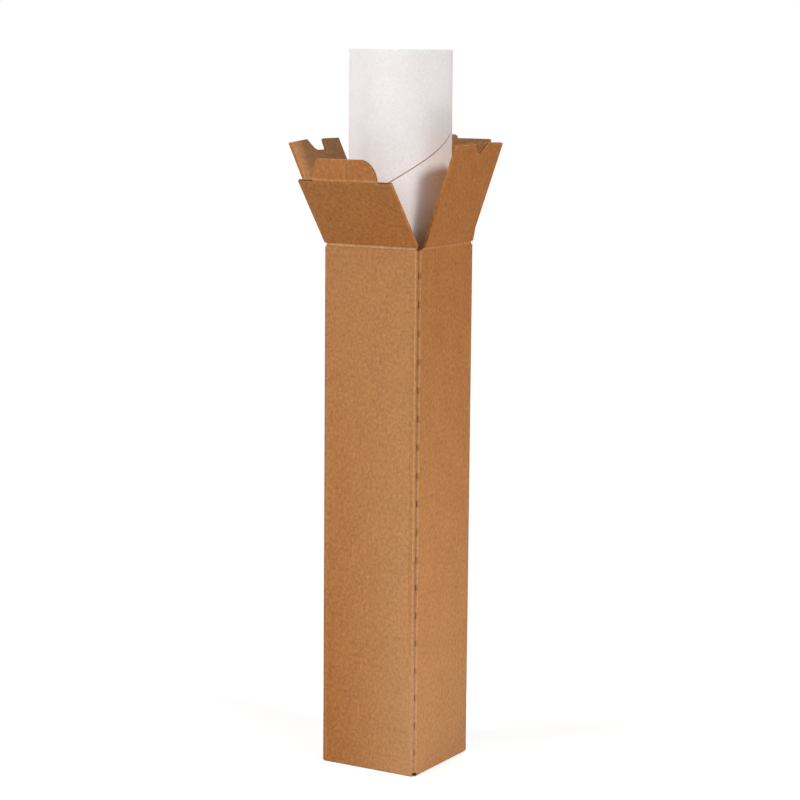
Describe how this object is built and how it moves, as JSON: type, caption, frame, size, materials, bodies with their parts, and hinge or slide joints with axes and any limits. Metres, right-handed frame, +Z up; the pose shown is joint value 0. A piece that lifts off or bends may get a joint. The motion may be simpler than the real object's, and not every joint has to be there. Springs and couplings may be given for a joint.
{
  "type": "square mailing carton with mailing tube",
  "caption": "Tall square corrugated carton, closed at the bottom, with hinged top flaps standing open round a spiral-wound paper mailing tube.",
  "frame": {"origin": "on the floor, at the centre of the carton's base", "axes": "+Z up along the carton and the tube, the front wall with the tongued flap faces -Y, the slit corner is at +X -Y"},
  "size_m": [0.1894, 0.193, 0.717],
  "materials": {
    "kraft_board": "matte kraft liner",
    "white_tube_paper": "matte white paper"
  },
  "bodies": {
    "carton": {"carton": "kraft_board", "mailing_tube": "white_tube_paper"},
    "front_flap": {"front_flap": "kraft_board"},
    "front_tongue": {"front_tongue": "kraft_board"},
    "right_flap": {"right_flap": "kraft_board"},
    "back_flap": {"back_flap": "kraft_board"},
    "left_flap": {"left_flap": "kraft_board"}
  },
  "joints": [
    {"name": "front_flap_crease", "type": "hinge", "parent": "carton", "child": "front_flap", "pos_m": [0, -0.0538, 0.5278], "axis": [1, 0, 0], "range_deg": [-19.7, 112.3]},
    {"name": "right_flap_crease", "type": "hinge", "parent": "carton", "child": "right_flap", "pos_m": [0.0538, 0, 0.5278], "axis": [0, 1, 0], "range_deg": [-19.4, 130.6]},
    {"name": "back_flap_crease", "type": "hinge", "parent": "carton", "child": "back_flap", "pos_m": [0, 0.0538, 0.5278], "axis": [-1, 0, 0], "range_deg": [-19.6, 130.4]},
    {"name": "left_flap_crease", "type": "hinge", "parent": "carton", "child": "left_flap", "pos_m": [-0.0538, 0, 0.5278], "axis": [0, -1, 0], "range_deg": [-25.5, 124.5]},
    {"name": "tongue_crease", "type": "hinge", "parent": "front_flap", "child": "front_tongue", "pos_m": [0, -0.10236, 0.59062], "axis": [1, 0, 0], "range_deg": [-52.3, 37.7]}
  ]
}
